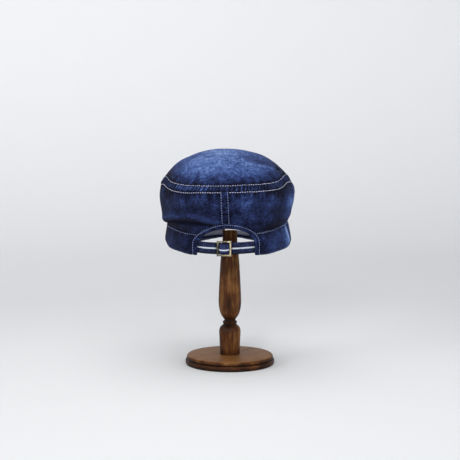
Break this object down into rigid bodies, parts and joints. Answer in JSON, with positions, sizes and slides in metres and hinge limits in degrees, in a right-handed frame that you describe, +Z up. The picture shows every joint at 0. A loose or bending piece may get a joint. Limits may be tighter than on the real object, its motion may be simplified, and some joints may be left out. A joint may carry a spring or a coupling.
{
  "type": "work cap on a turned wooden stand",
  "caption": "Soft denim work cap with a puffed crown, short bowed peak and a buckled strap across its arched back, resting on a turned wooden stand with a round foot.",
  "frame": {"origin": "middle of the flat underside of the stand's round foot, on the table", "axes": "+Z up along the stand's post, -Y the way the peak points, +Y the arched back with the strap, +X the wearer's right"},
  "size_m": [0.1985, 0.2757, 0.3194],
  "materials": {
    "washed_denim": "stone-washed indigo twill, paler on top",
    "dark_denim": "dark indigo twill, mottled by washing",
    "grey_tape": "woven grey sweatband tape",
    "white_tape": "plain white woven tab",
    "old_brass": "aged brass",
    "stained_wood": "turned beech with a dark walnut stain, satin lacquer"
  },
  "bodies": {
    "root": {"crown_top": "washed_denim", "crown_welt": "dark_denim", "crown_side": "dark_denim", "back_seam": "dark_denim", "band": "dark_denim", "arch_binding": "dark_denim", "sweatband": "grey_tape", "inner_label": "white_tape", "strap_left": "dark_denim", "strap_right": "dark_denim", "buckle": "old_brass", "peak": "dark_denim", "stand_base": "stained_wood", "stand_post": "stained_wood", "stand_rest": "stained_wood"}
  },
  "joints": []
}
